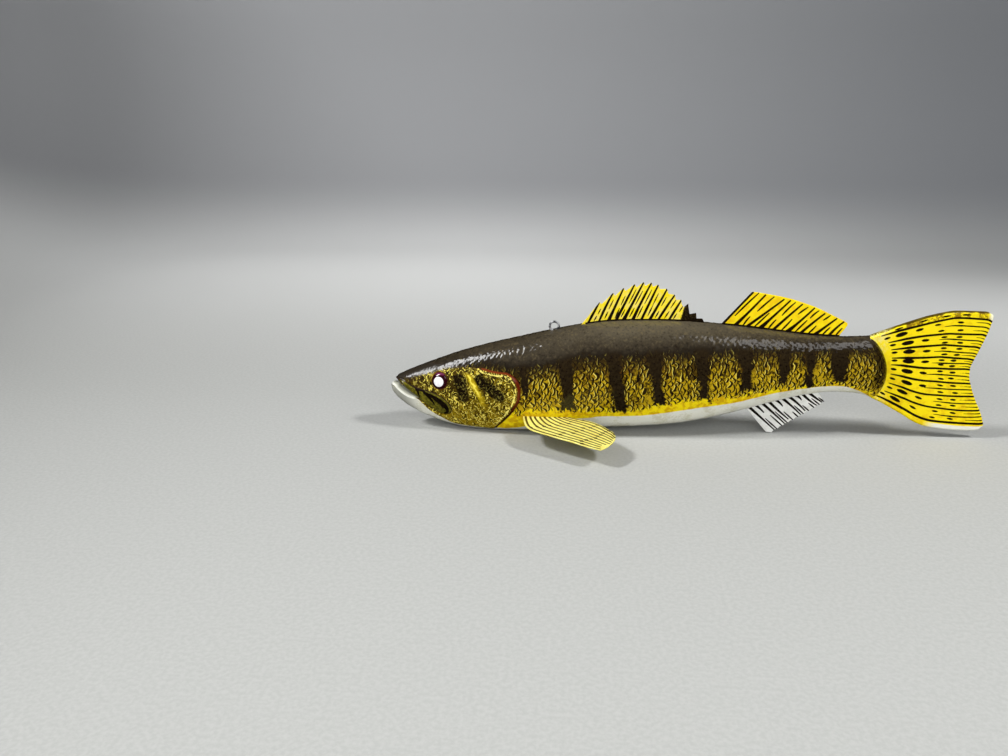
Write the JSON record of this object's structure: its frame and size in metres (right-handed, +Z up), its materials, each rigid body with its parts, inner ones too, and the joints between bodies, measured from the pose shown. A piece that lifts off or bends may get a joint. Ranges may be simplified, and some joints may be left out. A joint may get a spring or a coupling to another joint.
{
  "type": "fish decoy",
  "caption": "Carved and painted wooden fish decoy with sheet-metal fins, glass eyes and a screw eye in the back for the line; it stands upright on its belly.",
  "frame": {"origin": "on the surface that the belly rests on, under the middle of the decoy's box", "axes": "+X from snout to tail, +Y towards the fish's right side, +Z up"},
  "size_m": [0.4201, 0.1474, 0.1086],
  "materials": {
    "painted_body": "carved wood, painted dark olive and gold with dark bars and a white belly, gloss varnish",
    "painted_fin": "sheet metal painted bright yellow with black rays, gloss varnish",
    "white_fin": "sheet metal painted white with black rays, gloss varnish",
    "pale_fin": "sheet metal painted pale yellow with fine olive rays, gloss varnish",
    "eye": "domed glass eye painted behind: pearl pupil in a dark ring",
    "steel": "bright drawn wire"
  },
  "bodies": {
    "root": {"body": "painted_body", "spiny_dorsal_fin": "painted_fin", "soft_dorsal_fin": "painted_fin", "anal_fin": "white_fin", "pectoral_fin_left": "pale_fin", "pectoral_fin_right": "pale_fin", "glass_eye_left": "eye", "glass_eye_right": "eye", "screw_eye": "steel"}
  },
  "joints": []
}
